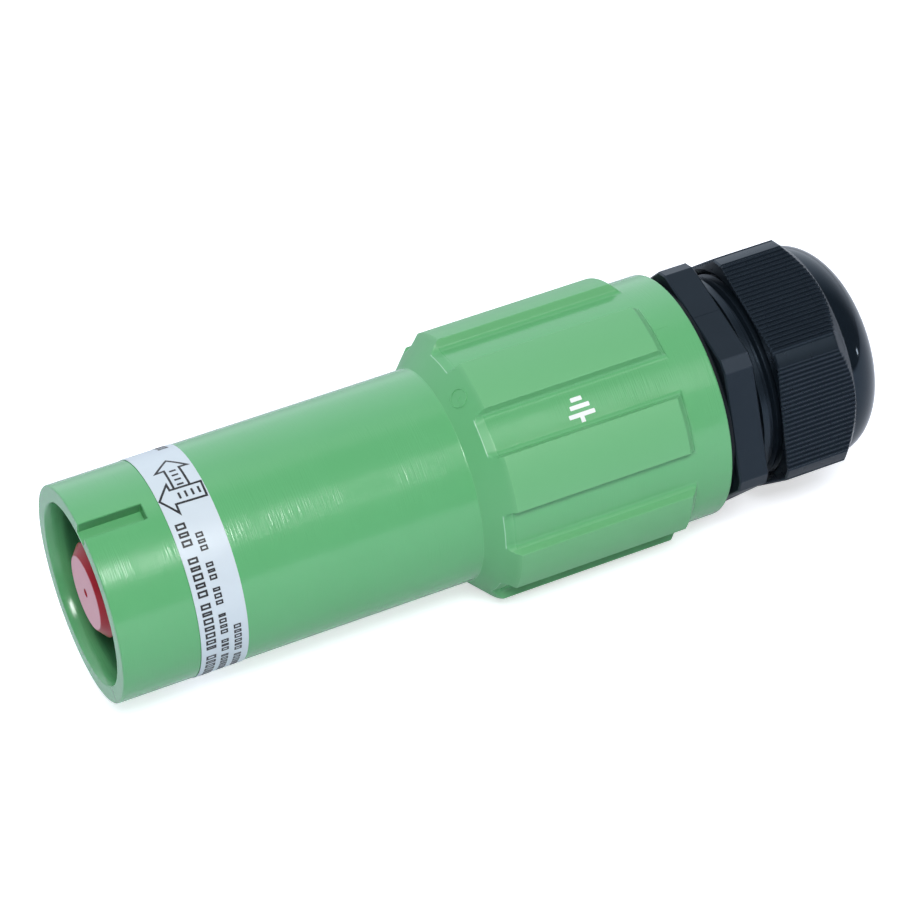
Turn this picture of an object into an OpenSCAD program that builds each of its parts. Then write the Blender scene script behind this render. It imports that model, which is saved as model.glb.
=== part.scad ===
/* [Mating barrel] */
// Outer diameter of the mating barrel
barrel_d = 50; // [46:0.5:54]
// Length from the mating face to the foot of the shoulder
barrel_len = 85.2; // [75:0.1:95]
// Diameter of the narrow lip just inside the mouth
mouth_d = 40.9; // [39:0.1:42]
// Diameter of the socket behind that lip
socket_d = 42; // [41:0.1:43]
// Depth of the socket
socket_depth = 58; // [50:1:62]
// Width of the key slot in the barrel
slot_w = 4.2; // [3:0.1:6]
// Depth of the key slot
slot_depth = 3.2; // [2:0.1:3.4]
// Length of the key slot from the mating face
slot_len = 14.6; // [10:0.1:17]
// Angle of the key slot from the top, towards the viewer
slot_angle = 23.2; // [0:0.1:45]

/* [Label] */
// Distance from the mating face to the label band
label_start = 17.96; // [17:0.01:25]
// Width of the label band
label_w = 11; // [6:0.1:14]
// Thickness of the label band
label_t = 0.12; // [0.1:0.01:0.2]

/* [Grip] */
// Diameter of the sleeve between and behind the raised pads
sleeve_d = 57.6; // [56:0.1:59]
// Diameter over the raised pads
pad_d = 62.7; // [61:0.1:65]
// Number of raised pads
pad_count = 8; // [6:1:10]
// Angle that the top of one pad takes up
pad_angle = 24; // [18:0.5:27]
// Radius at the foot of a pad's sides
pad_fillet = 1.6; // [0.8:0.1:2]
// Distance from the mating face to the rear top edge of the pads
pad_end = 134; // [120:0.5:136]
// Distance from the mating face to the rear end of the sleeve
sleeve_end = 145.4; // [142:0.1:150]

/* [Contact] */
// Diameter of the contact pin
pin_d = 21.8; // [18:0.1:23]
// Length of the red finger guard on the pin
guard_len = 13.2; // [8:0.1:20]
// Depth of the finger guard's face behind the mating face
guard_recess = 0.8; // [0.4:0.1:2]
// Outer diameter of the cable socket
cable_socket_d = 31; // [29:0.5:32]
// Bore of the cable socket
cable_bore_d = 19.6; // [17:0.1:21]
// Diameter of the cable clamping screws
set_screw_d = 10; // [8:1:10]

/* [Gland] */
// Width across the flats of the gland's body and nut
across_flats = 53; // [50:1:55]
// Angle from the top to the near corner of the gland's body
body_corner_angle = 49.6; // [30:0.1:60]
// Angle from the top to the near corner of the cap nut
nut_corner_angle = 54.6; // [30:0.1:60]
// Number of grooves across each flat of the cap nut
groove_count = 24; // [12:1:24]
// Depth of those grooves
groove_depth = 0.3; // [0.1:0.05:0.4]
// Number of fingers of the clamping cage
finger_count = 14; // [10:1:18]
// Diameter of the hole for the cable
cable_hole_d = 29; // [24:0.5:30]

/* [Hidden] */

$fn = 96;
green = [0.30, 0.60, 0.40];
black = [0.13, 0.15, 0.17];
rubber = [0.07, 0.07, 0.07];
silver = [0.80, 0.80, 0.78];

// The part lies on two of its pads, so its axis is this far above the ground
half_gap = 180 / pad_count - pad_angle / 2;
axis_z = pad_d / 2 * cos(half_gap);
nose_end = 189.2;
origin_x = nose_end / 2;

// Radii
barrel_r = barrel_d / 2;
socket_r = socket_d / 2;
sleeve_r = sleeve_d / 2;
pad_r = pad_d / 2;
pin_r = pin_d / 2;
shank_r = pin_r - 0.3;

// Shoulder: a fillet, then a cone at 45 degrees up to the pads
shoulder_fillet = 3;
lead_w = 2.3;
lead_drop = 0.5;
cone_end = barrel_len + pad_r - barrel_r;
flute_start = barrel_len + sleeve_r - lead_drop - barrel_r;
pad_slope = 2.2;
rim_round = 1.2;

// Inside of the housing
lip_len = 2.7;
wall_hole_r = 14;
wall_end = 70;
cavity_r = 18.9;
thread_r = 20;
thread_start = 129;

// Contact stations along the axis
guard_end = guard_recess + guard_len;
stud_r = 5;
stud_len = 8;
ring_groove = 51.9;
groove_r = pin_r - 1;
ring_t = 1.4;
bush_start = 54.5;
washer_t = 2;
cable_socket_start = wall_end + washer_t;
cable_socket_end = 124;
cable_bore_depth = 40;
link_r = 8;
link_len = 12;
o_ring_r = 1.25;
o_ring_x = 64;
bush_bore_r = shank_r + 0.5;
o_ring_seat_r = bush_bore_r - 2 * o_ring_r;
liner_end = thread_start - 0.2;

// Gland stations along the axis
hex_start = 147;
hex_end = 154.35;
corner_cut = 0.92;
collar_r = 24.6;
collar_end = 157.4;
screw_r = 24.2;
screw_root_r = 23.5;
screw_pitch = 2;
screw_end = 168;
nut_start = 159.8;
dome_start = 178.7;
nut_corner_r = 29.8;
groove_pitch = 1.135;
groove_half_w = 0.3;
dome_r = 25.3;
dome_tip_r = 10.5;
dome_len = 10.85;
cable_r = cable_hole_d / 2;
passage_r = 16.5;
seal_bore_r = 15;
cage_r = 21;
cage_start = 163;
cage_end = 181;
cage_tip_r = 19.2;

function arc(cx, cy, r, a0, a1, n) =
    [for (i = [0:n]) [cx + r * cos(a0 + (a1 - a0) * i / n), cy + r * sin(a0 + (a1 - a0) * i / n)]];

// Turns a piece drawn along its own axis, front face at zero, into its place in the lying connector
module lying() {
    translate([-origin_x, 0, axis_z]) rotate([0, 90, 0]) children();
}

// A turned piece from points given as [distance from the mating face, radius]
module turned(points) {
    rotate_extrude() polygon([for (p = points) [p[1], p[0]]]);
}

module ring(start, end, inner, outer) {
    turned([[start, inner], [start, outer], [end, outer], [end, inner]]);
}

// A round bar or hole along the axis
module bar(start, end, r) {
    translate([0, 0, start]) cylinder(h = end - start, r = r);
}

// Turned outside of the housing, with the socket, the cavity and the thread's bore left out
module housing_core() {
    fillet_x = barrel_len - shoulder_fillet * tan(22.5);
    turned(concat(
        [[0.5, mouth_d / 2], [0, mouth_d / 2 + 0.5], [0, barrel_r - 0.3], [0.3, barrel_r]],
        arc(fillet_x, barrel_r + shoulder_fillet, shoulder_fillet, -90, -45, 5),
        [[flute_start, sleeve_r - lead_drop], [flute_start + lead_w, sleeve_r]],
        arc(sleeve_end - rim_round, sleeve_r - rim_round, rim_round, 90, 0, 4),
        [[sleeve_end, thread_r + 0.8], [sleeve_end - 0.8, thread_r], [thread_start, thread_r],
         [thread_start, cavity_r], [wall_end, cavity_r], [wall_end, wall_hole_r],
         [socket_depth, wall_hole_r], [socket_depth, socket_r], [lip_len + 0.6, socket_r],
         [lip_len, mouth_d / 2]]));
}

// Side of a pad in cross-section: its fillet sweeps out to meet the sleeve
module pad_section() {
    half = pad_angle / 2;
    side = pad_r * sin(half);
    root = side + pad_fillet;
    mid = sqrt(pow(sleeve_r + pad_fillet, 2) - pow(root, 2));
    foot = asin(root / (sleeve_r + pad_fillet));
    left = arc(mid, root, pad_fillet, -90, foot - 180, 5);
    polygon(concat([[sleeve_r - 3, 0]], [[(sleeve_r - 3) * cos(foot), (sleeve_r - 3) * sin(foot)]],
        [for (i = [5:-1:0]) left[i]], [[pad_r + 1, side], [pad_r + 1, -side]],
        [for (i = [0:5]) [left[i][0], -left[i][1]]],
        [[(sleeve_r - 3) * cos(foot), -(sleeve_r - 3) * sin(foot)]]));
}

// One raised grip pad, cut from a ring with a 45 degree nose and a sloping tail
module grip_pad() {
    intersection() {
        turned([[flute_start - 1, sleeve_r - 2], [barrel_len + sleeve_r - barrel_r - 0.2, sleeve_r - 0.2],
            [cone_end, pad_r], [pad_end, pad_r], [pad_end + pad_slope + 0.4, sleeve_r - 0.45],
            [pad_end + pad_slope, sleeve_r - 2]]);
        translate([0, 0, flute_start - 2]) linear_extrude(pad_end - flute_start + 8) pad_section();
    }
}

module housing() {
    color(green) lying() difference() {
        union() {
            housing_core();
            for (i = [0:pad_count - 1]) rotate([0, 0, (i + 0.5) * 360 / pad_count]) grip_pad();
        }
        rotate([0, 0, 180 + slot_angle]) translate([barrel_r - slot_depth, -slot_w / 2, -1])
            cube([slot_depth + 1, slot_w, slot_len + 1]);
    }
}

module label_band() {
    color("white") lying() ring(label_start, label_start + label_w, barrel_r, barrel_r + label_t);
}

// Red cap that keeps fingers off the live pin, screwed onto the pin's stud
module finger_guard() {
    color([0.75, 0.16, 0.14]) lying() difference() {
        turned([[guard_recess, 0], [guard_recess, 9.6], [guard_recess + 1.3, pin_r], [guard_end, pin_r],
            [guard_end, 0]]);
        bar(guard_end - stud_len, guard_end + 1, stud_r);
        bar(guard_recess - 1, guard_recess + 0.8, 1.1);
    }
}

module contact_pin() {
    color(silver) lying() difference() {
        union() {
            bar(guard_end, ring_groove, pin_r);
            bar(guard_end, cable_socket_start, shank_r);
            bar(guard_end - stud_len + 0.5, guard_end + 1, stud_r);
            bar(cable_socket_start - 1, cable_socket_start + link_len, link_r);
        }
        ring(ring_groove, ring_groove + ring_t, groove_r, pin_r + 2);
        ring(o_ring_x - 1.6, o_ring_x + 1.6, o_ring_seat_r, pin_r + 2);
    }
}

// Rear half of the contact: it takes the stripped cable, held by two screws
module cable_socket() {
    color(silver) lying() difference() {
        turned([[cable_socket_start, link_r], [cable_socket_start, cable_socket_d / 2 - 0.8],
            [cable_socket_start + 0.8, cable_socket_d / 2], [cable_socket_end - 0.8, cable_socket_d / 2],
            [cable_socket_end, cable_socket_d / 2 - 0.8], [cable_socket_end, cable_bore_d / 2 + 0.8],
            [cable_socket_end - 0.8, cable_bore_d / 2],
            [cable_socket_end - cable_bore_depth, cable_bore_d / 2],
            [cable_socket_end - cable_bore_depth, link_r]]);
        screw_places() cylinder(h = cable_socket_d, r = set_screw_d / 2);
    }
}

module screw_places() {
    for (x = [14, 28]) translate([0, 0, cable_socket_end - x]) rotate([0, -90, 0]) children();
}

module cable_screws() {
    depth = 4.8;
    foot = cable_bore_d / 2 + 0.2;
    color("dimgray") lying() screw_places() difference() {
        translate([0, 0, foot]) cylinder(h = depth, r = set_screw_d / 2);
        translate([0, 0, foot + depth - 3]) cylinder(h = 4, r = 2.9, $fn = 6);
    }
}

module insulator_bush() {
    color("ivory") lying() turned([[bush_start, bush_bore_r], [bush_start, socket_r - 1.4],
        [bush_start + 1, socket_r - 0.4], [socket_depth, socket_r - 0.4], [socket_depth, wall_hole_r - 0.1],
        [wall_end, wall_hole_r - 0.1], [wall_end, bush_bore_r]]);
}

module contact_o_ring() {
    color(rubber) lying() translate([0, 0, o_ring_x]) rotate_extrude()
        translate([o_ring_seat_r + o_ring_r, 0]) circle(o_ring_r);
}

module front_washer() {
    color(silver) lying() ring(ring_groove + ring_t, bush_start, shank_r + 0.1, 14.5);
}

// Open spring ring with a hole in each lug
module retaining_ring() {
    color("dimgray") lying() translate([0, 0, ring_groove]) linear_extrude(ring_t) difference() {
        union() {
            circle(r = pin_r + 2.2);
            for (a = [-17, 17]) rotate(a) translate([pin_r + 2.3, 0]) circle(r = 2.1);
        }
        circle(r = groove_r + 0.1);
        polygon([[0, 0], [20, -3.6], [20, 3.6]]);
        for (a = [-17, 17]) rotate(a) translate([pin_r + 2.6, 0]) circle(r = 0.9);
    }
}

module thrust_washer() {
    color(silver) lying() ring(wall_end, cable_socket_start, shank_r + 0.2, 18);
}

// Soft ring that the mating nose presses against at the bottom of the socket
module front_seal() {
    color(rubber) lying() turned([[bush_start - 2, 17.2], [bush_start - 2, 19], [bush_start, 19.6],
        [bush_start, 16.6]]);
}

module rear_liner() {
    color("ivory") lying() ring(cable_socket_start, liner_end, cable_socket_d / 2 + 0.2, cavity_r - 0.1);
}

module gland_gasket() {
    color(rubber) lying() ring(sleeve_end, hex_start, thread_r + 0.1, 27);
}

// Hexagonal bar with flats along its corners
module hex_bar(start, end, corner_angle) {
    corner_r = across_flats / 2 / cos(30);
    translate([0, 0, start]) rotate(corner_angle) intersection() {
        cylinder(h = end - start, r = corner_r, $fn = 6);
        rotate(30) cylinder(h = end - start, r = (corner_r - corner_cut) / cos(30), $fn = 6);
    }
}

module gland_body() {
    color(black) lying() difference() {
        union() {
            turned([[thread_start, 0], [thread_start, thread_r - 0.8], [thread_start + 0.8, thread_r - 0.05],
                [hex_start + 1, thread_r - 0.05], [hex_start + 1, 0]]);
            hex_bar(hex_start, hex_end, body_corner_angle);
            turned([[hex_end - 1, 0], [hex_end - 1, collar_r], [collar_end - 0.6, collar_r],
                [collar_end, collar_r - 0.6], [collar_end, 0]]);
            bar(collar_end - 1, screw_end, screw_root_r);
            for (x = [collar_end + 1:screw_pitch:screw_end - 1])
                turned([[x - 0.6, screw_root_r - 0.5], [x - 0.6, screw_root_r], [x - 0.2, screw_r],
                    [x + 0.2, screw_r], [x + 0.6, screw_root_r], [x + 0.6, screw_root_r - 0.5]]);
        }
        bar(thread_start - 1, screw_end + 1, passage_r);
        bar(cage_start, screw_end + 1, cage_r + 0.1);
    }
}

// Slotted cage: the nut's dome bends its fingers inwards onto the cable seal
module clamp_cage() {
    gap_w = 1.4;
    color(black) lying() difference() {
        turned([[cage_start, 18.2], [cage_start, cage_r], [cage_start + 9, cage_r],
            [cage_end, cage_tip_r], [cage_end, cage_tip_r - 1.6], [cage_start + 5, 18.2]]);
        for (i = [0:finger_count - 1]) rotate([0, 0, i * 360 / finger_count])
            translate([10, -gap_w / 2, cage_start + 4]) cube([20, gap_w, 30]);
    }
}

module cable_seal() {
    color(rubber) lying() turned([[cage_start, 16.6], [cage_start, 18.1], [cage_start + 5, 18.1],
        [cage_end - 1, 17.5], [cage_end - 1, seal_bore_r + 0.6], [cage_end - 1.6, seal_bore_r],
        [cage_start + 1.4, seal_bore_r]]);
}

function dome_at(a) = [dome_start + dome_len * sin(a), dome_tip_r + (dome_r - dome_tip_r) * cos(a)];

// Hexagon in cross-section, with V grooves across each flat
module grooved_hexagon() {
    flat = across_flats / 2;
    grooves = [for (i = [0:groove_count - 1]) for (j = [-1:1])
        [flat - (j == 0 ? groove_depth : 0), (i - (groove_count - 1) / 2) * groove_pitch + j * groove_half_w]];
    side = concat([[flat, -flat * tan(30)]], grooves);
    polygon([for (a = [0:60:300]) for (p = side)
        [p[0] * cos(a) - p[1] * sin(a), p[0] * sin(a) + p[1] * cos(a)]]);
}

module cap_nut() {
    dome_stop = acos((cable_r + 1.2 - dome_tip_r) / (dome_r - dome_tip_r));
    dome = [for (i = [0:10]) dome_at(dome_stop * i / 10)];
    edge_r = dome_r + 0.6;
    color(black) lying() difference() {
        union() {
            intersection() {
                translate([0, 0, nut_start]) rotate(nut_corner_angle + 30)
                    linear_extrude(dome_start + 2 - nut_start) grooved_hexagon();
                turned([[nut_start, 0], [nut_start, nut_corner_r - 0.3], [nut_start + 0.4, nut_corner_r],
                    [dome_start + edge_r - nut_corner_r, nut_corner_r], [dome_start, edge_r],
                    [dome_start, 0]]);
            }
            turned(concat([[nut_start + 1, 0], [nut_start + 1, 25]], dome,
                [[nose_end, dome[10][1] - 0.6], [nose_end, 0]]));
        }
        turned([[nut_start - 1, 0], [nut_start - 1, 26.2], [nut_start + 1, screw_r + 0.15],
            [cage_start + 9, screw_r + 0.15], [cage_end, cage_tip_r + 0.05],
            [cage_end + 4.3, cable_r], [cage_end + 4.3, 0]]);
        bar(cage_end, nose_end + 1, cable_r);
    }
}

housing();
label_band();
finger_guard();
contact_pin();
cable_socket();
cable_screws();
insulator_bush();
contact_o_ring();
front_washer();
retaining_ring();
thrust_washer();
front_seal();
rear_liner();
gland_gasket();
gland_body();
clamp_cage();
cable_seal();
cap_nut();
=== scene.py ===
import math

import bmesh
import bpy
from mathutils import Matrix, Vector


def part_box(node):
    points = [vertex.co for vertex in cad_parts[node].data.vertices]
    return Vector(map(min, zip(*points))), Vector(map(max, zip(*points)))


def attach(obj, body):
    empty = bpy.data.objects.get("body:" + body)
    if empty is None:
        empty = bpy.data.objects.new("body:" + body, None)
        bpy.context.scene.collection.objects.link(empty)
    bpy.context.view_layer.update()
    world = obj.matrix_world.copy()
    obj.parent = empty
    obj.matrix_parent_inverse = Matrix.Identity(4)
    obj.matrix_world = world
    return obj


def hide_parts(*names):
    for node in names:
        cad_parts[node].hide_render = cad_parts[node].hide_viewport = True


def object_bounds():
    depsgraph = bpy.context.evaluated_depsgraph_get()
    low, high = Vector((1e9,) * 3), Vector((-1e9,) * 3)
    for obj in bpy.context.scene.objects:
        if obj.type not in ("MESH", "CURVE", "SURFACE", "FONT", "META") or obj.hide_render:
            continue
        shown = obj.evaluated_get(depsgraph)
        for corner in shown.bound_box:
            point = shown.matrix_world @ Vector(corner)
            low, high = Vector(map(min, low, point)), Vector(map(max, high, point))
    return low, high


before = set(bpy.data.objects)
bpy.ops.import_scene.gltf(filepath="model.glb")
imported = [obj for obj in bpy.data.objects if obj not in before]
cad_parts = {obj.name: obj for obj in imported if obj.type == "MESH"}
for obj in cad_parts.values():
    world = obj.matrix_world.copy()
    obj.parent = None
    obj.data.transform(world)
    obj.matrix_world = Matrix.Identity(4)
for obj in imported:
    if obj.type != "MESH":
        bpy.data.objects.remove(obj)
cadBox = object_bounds()

# stations are millimetres from the mating face, radii are millimetres from the axis,
# and turns are degrees from the top, towards the side that faces the camera
mm = 0.001
mergeGap = 0.002 * mm
sameStation = 0.01  # millimetres, as are the next two
sameRadius = 0.003
overLimit = 0.0005
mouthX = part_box("housing")[0].x
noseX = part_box("cap_nut")[1].x
axisZ = (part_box("housing")[0].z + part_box("housing")[1].z) / 2
noseEnd = (noseX - mouthX) / mm


def say(text):
    print("connector:", text)


def onAxis(station):
    return Vector((mouthX + station * mm, 0, axisZ))


def around(station, radius, turn=0):
    angle = math.radians(turn)
    return onAxis(station) + Vector((0, -math.sin(angle), math.cos(angle))) * radius * mm


def polar(across, up):
    # as (radius, turn)
    return math.hypot(across, up), math.degrees(math.atan2(across, up))


def rounded(corners, closed=True, steps=4):
    # corners are (station, radius) or (station, radius, round), and each round becomes an arc
    line = []
    for i, corner in enumerate(corners):
        here = Vector(corner[:2])
        atEnd = not closed and i in (0, len(corners) - 1)
        if len(corner) < 3 or atEnd:
            line.append(tuple(here))
            continue
        toBefore = (Vector(corners[i - 1][:2]) - here).normalized()
        toAfter = (Vector(corners[(i + 1) % len(corners)][:2]) - here).normalized()
        half = toBefore.angle(toAfter) / 2
        centre = here + (toBefore + toAfter).normalized() * corner[2] / math.sin(half)
        first = here + toBefore * corner[2] / math.tan(half) - centre
        last = here + toAfter * corner[2] / math.tan(half) - centre
        begin = math.atan2(first.y, first.x)
        sweep = (math.atan2(last.y, last.x) - begin + math.pi) % (2 * math.pi) - math.pi
        for k in range(steps + 1):
            angle = begin + sweep * k / steps
            line.append((centre.x + corner[2] * math.cos(angle), centre.y + corner[2] * math.sin(angle)))
    return line


def selectOnly(piece):
    bpy.ops.object.select_all(action="DESELECT")
    piece.select_set(True)
    bpy.context.view_layer.objects.active = piece


def editMode(piece):
    selectOnly(piece)
    bpy.ops.object.mode_set(mode="EDIT")
    bpy.ops.mesh.select_mode(type="VERT")


def objectMode():
    bpy.ops.object.mode_set(mode="OBJECT")
    return bpy.context.object


def selectAll(action="SELECT"):
    bpy.ops.mesh.select_all(action=action)


def merge():
    bpy.ops.mesh.remove_doubles(threshold=mergeGap)


def drawLine(name, points):
    # a vertex extruded from point to point; the piece stays in edit mode
    bpy.ops.mesh.primitive_plane_add(size=mm, location=(0, 0, 0))
    piece = bpy.context.object
    piece.name = name
    editMode(piece)
    selectAll()
    bpy.ops.mesh.merge(type="CENTER")
    bpy.ops.transform.translate(value=points[0])
    for before, after in zip(points, points[1:]):
        bpy.ops.mesh.extrude_vertices_move(TRANSFORM_OT_translate={"value": after - before})
    selectAll()
    return piece


def finishMesh():
    # closes the shape, turns its faces outwards and leaves edit mode
    selectAll()
    merge()
    bpy.ops.mesh.normals_make_consistent(inside=False)
    return objectMode()


def spin(steps, angle=2 * math.pi, copies=False):
    bpy.ops.mesh.spin(steps=steps, angle=angle, dupli=copies, center=(0, 0, axisZ), axis=(1, 0, 0))


def lathe(name, outline, steps):
    # an outline turned about the axis
    drawLine(name, [around(s, r) for s, r in outline])
    spin(steps)
    return finishMesh()


def choose(mesh, vertices):
    selectAll("DESELECT")
    for vertex in vertices:
        vertex.select = True
    mesh.select_flush_mode()


def pick(piece, rule):
    mesh = bmesh.from_edit_mesh(piece.data)
    choose(mesh, [v for v in mesh.verts if rule(v.co)])
    bmesh.update_edit_mesh(piece.data)


def radiusOf(point):
    return math.hypot(point.y, point.z - axisZ) / mm


def stationOf(point):
    return (point.x - mouthX) / mm


class Tube:
    # follows a ring of vertices as it is extruded along the axis; the selected ring is the live one
    def __init__(self, piece, station):
        self.piece = piece
        self.start = self.station = station

    def restart(self):
        # back to the first ring, to go the other way
        pick(self.piece, lambda p: abs(stationOf(p) - self.start) < sameStation)
        self.station = self.start

    def ring(self):
        mesh = bmesh.from_edit_mesh(self.piece.data)
        return mesh, [v for v in mesh.verts if v.select]

    def resize(self, factor):
        bpy.ops.transform.resize(value=(1, factor, factor), center_override=onAxis(self.station))

    def extend(self, station, limit=None):
        # extrudes to the station; what stands above the limit comes down onto it
        step = (station - self.station) * mm
        bpy.ops.mesh.extrude_edges_move(TRANSFORM_OT_translate={"value": (step, 0, 0)})
        self.station = station
        if limit is not None:
            self.fit(limit)

    def fit(self, limit):
        mesh, ring = self.ring()
        radii = [radiusOf(v.co) for v in ring]
        if max(radii) - min(radii) < sameRadius:
            self.resize(limit * len(radii) / sum(radii))
            return
        tall = [v for v, r in zip(ring, radii) if r > limit + overLimit]
        if tall:
            choose(mesh, tall)
            bpy.ops.transform.tosphere(value=1, center_override=onAxis(self.station))
            self.resize(limit * len(tall) / sum(radiusOf(v.co) for v in tall))
            choose(mesh, ring)

    def lowest(self, radius):
        # brings the lowest vertices of the ring to a radius
        mesh, ring = self.ring()
        floor = min(radiusOf(v.co) for v in ring)
        choose(mesh, [v for v in ring if radiusOf(v.co) < floor + sameRadius])
        self.resize(radius / floor)
        choose(mesh, ring)

    def follow(self, outline):
        for station, radius in outline:
            self.extend(station, radius)

    def bevel(self, station, width, flat):
        # to the end face at the station, with its edge bevelled
        self.extend(station + math.copysign(width, self.station - station))
        self.extend(station)
        self.resize(1 - width / flat)


def ringSection(name, station, half, count, turn):
    # half a sector, as (radius, turn) from its middle to its end, is mirrored and copied round the axis
    sector = [(r, -t) for r, t in reversed(half[1:])] + half
    drawLine(name, [around(station, r, turn + t) for r, t in sector])
    spin(count, copies=True)
    selectAll()
    merge()
    return Tube(bpy.context.object, station)


def addModifier(piece, kind, settings):
    selectOnly(piece)
    made = piece.modifiers.new(kind.title(), kind)
    for key, value in settings.items():
        setattr(made, key, value)
    bpy.ops.object.modifier_apply(modifier=made.name)


def subtract(piece, cutter):
    addModifier(piece, "BOOLEAN", {"operation": "DIFFERENCE", "solver": "EXACT", "object": cutter})
    bpy.data.objects.remove(cutter)


def join(pieces):
    selectOnly(pieces[0])
    for piece in pieces[1:]:
        piece.select_set(True)
    bpy.ops.object.join()
    return pieces[0]


def curvedBar(station, along, begin, end, radius):
    # a patch of the cylinder, so long along the axis and from one turn to another
    drawLine("bar", [around(station - along / 2, radius, begin), around(station + along / 2, radius, begin)])
    degreesPerStep = 3
    steps = max(1, round((end - begin) / degreesPerStep))
    spin(steps, math.radians(begin - end))
    return finishMesh()


def thicken(piece, thickness):
    addModifier(piece, "SOLIDIFY", {"thickness": thickness * mm, "offset": 0.0})
    editMode(piece)
    return finishMesh()


mouldRidge = {"half": 0.09, "thick": 0.08}


def mouldLine(start, end, turn, radius):
    # the fine ridge where the halves of a mould meet
    half = math.degrees(mouldRidge["half"] / radius)
    bar = curvedBar((start + end) / 2, end - start, turn - half, turn + half, radius)
    return thicken(bar, mouldRidge["thick"])


def dress(piece, paint):
    piece.data.materials.clear()
    piece.data.materials.append(paint)


def settle(piece, paint, stands=(), smooth=30):
    # smooth shading, material and body of a finished piece, and the parts it stands for are hidden
    selectOnly(piece)
    bpy.ops.object.transform_apply()
    bpy.ops.object.shade_smooth_by_angle(angle=math.radians(smooth))
    addModifier(piece, "WEIGHTED_NORMAL", {"keep_sharp": True, "weight": 50})
    dress(piece, paint)
    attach(piece, "root")
    if stands:
        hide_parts(*stands)


class Wire:
    # an output socket that can be added, multiplied and so on
    def __init__(self, nodes, socket):
        self.nodes = nodes
        self.socket = socket

    def __add__(self, other):
        return self.nodes.maths("ADD", self, other)

    def __sub__(self, other):
        return self.nodes.maths("SUBTRACT", self, other)

    def __rsub__(self, other):
        return self.nodes.maths("SUBTRACT", other, self)

    def __mul__(self, other):
        return self.nodes.maths("MULTIPLY", self, other)

    def __pow__(self, other):
        return self.nodes.maths("POWER", self, other)


class Nodes:
    def __init__(self, tree):
        self.tree = tree

    def node(self, kind, settings, sockets, output=0):
        made = self.tree.nodes.new(kind)
        for key, value in settings.items():
            setattr(made, key, value)
        for key, value in sockets.items():
            if isinstance(value, Wire):
                self.tree.links.new(value.socket, made.inputs[key])
            else:
                made.inputs[key].default_value = value
        return Wire(self, made.outputs[output])

    def maths(self, operation, *values):
        return self.node("ShaderNodeMath", {"operation": operation}, dict(enumerate(values)))

    def noise(self, place, scale, detail):
        return self.node("ShaderNodeTexNoise", {}, {"Vector": place, "Scale": scale, "Detail": detail})

    def vector(self, x, y, z):
        return self.node("ShaderNodeCombineXYZ", {}, {0: x, 1: y, 2: z})

    def dot(self, first, second):
        return self.node("ShaderNodeVectorMath", {"operation": "DOT_PRODUCT"}, {0: first, 1: second}, "Value")

    def band(self, value, begin, end):
        # 0 below begin, 1 above end
        settings = {"interpolation_type": "SMOOTHSTEP"}
        return self.node("ShaderNodeMapRange", settings, {0: value, 1: begin, 2: end, 3: 0.0, 4: 1.0})

    def window(self, value, begin, end):
        # 1 between begin and end
        soft = 0.05
        return self.band(value, begin - soft, begin + soft) * (1 - self.band(value, end - soft, end + soft))

    def ray(self, kind):
        return self.node("ShaderNodeLightPath", {}, {}, "Is %s Ray" % kind)


class Paint(Nodes):
    def __init__(self, name, settings):
        self.material = bpy.data.materials.new(name)
        self.material.use_nodes = True
        super().__init__(self.material.node_tree)
        self.shader = self.tree.nodes["Principled BSDF"]
        for socket, value in settings.items():
            self.shader.inputs[socket].default_value = value

    def place(self):
        # object coordinates in millimetres from the mating face and the axis
        found = self.node("ShaderNodeTexCoord", {}, {}, "Object")
        moved = self.node("ShaderNodeVectorMath", {"operation": "SUBTRACT"}, {0: found, 1: onAxis(0)})
        return self.node("ShaderNodeVectorMath", {"operation": "SCALE"}, {0: moved, "Scale": 1 / mm})

    def cylinder(self, place):
        # station, radius and turn in radians
        parts = [self.node("ShaderNodeSeparateXYZ", {}, {0: place}, axis) for axis in "XYZ"]
        radius = (parts[1] * parts[1] + parts[2] * parts[2]) ** 0.5
        return parts[0], radius, self.maths("ARCTAN2", parts[1] * -1, parts[2])

    def marks(self, parts, scales, detail):
        # noise with a scale of its own along the axis, out from it and round it
        station, radius, turn = parts
        along, out, about = scales
        return self.noise(self.vector(station * along, turn * about, radius * out), 1.0, detail)

    def mix(self, amount, first, second):
        return self.node("ShaderNodeMix", {"data_type": "RGBA"}, {0: amount, 6: first, 7: second}, 2)

    def bump(self, height, depth):
        # depth in millimetres
        normal = self.node("ShaderNodeBump", {}, {"Height": height, "Distance": depth * mm, "Strength": 1.0})
        self.feed("Normal", normal)

    def feed(self, socket, wire):
        self.tree.links.new(wire.socket, self.shader.inputs[socket])


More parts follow.
